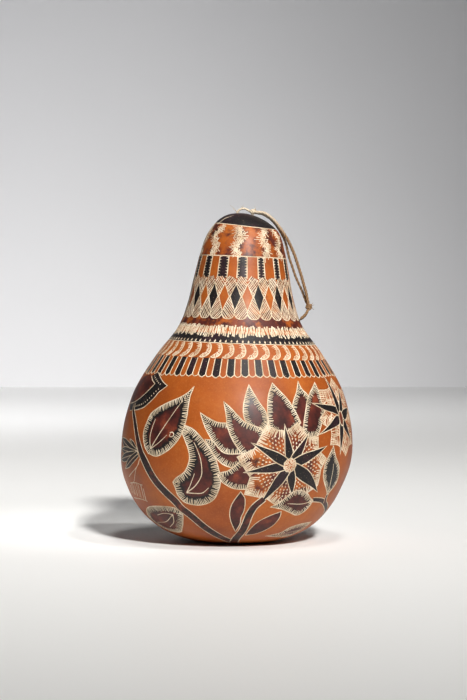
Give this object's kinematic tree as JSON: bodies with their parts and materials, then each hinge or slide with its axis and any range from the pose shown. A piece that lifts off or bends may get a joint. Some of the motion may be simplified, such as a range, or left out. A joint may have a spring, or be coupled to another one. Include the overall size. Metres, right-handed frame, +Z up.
{
  "type": "carved bottle gourd",
  "caption": "Dried bottle gourd that stands on its flattened base, carved and burnt all over with bands, leaves and flowers, with a knotted twine hanging loop at its crown.",
  "frame": {"origin": "middle of the flat seat under the gourd, where it stands", "axes": "+Z up along the gourd's height, -Y the front, +X the side that the twine loop hangs on"},
  "size_m": [0.1548, 0.1546, 0.2217],
  "materials": {
    "rind": "varnished dried rind, stained orange, burnt and engraved",
    "twine": "dry hand-twisted plant-fibre twine"
  },
  "bodies": {
    "root": {"gourd": "rind", "crown_knot": "twine", "crown_bight": "twine", "outer_strand": "twine", "inner_strand": "twine", "end_knot": "twine", "tail_front": "twine", "tail_back": "twine"}
  },
  "joints": []
}
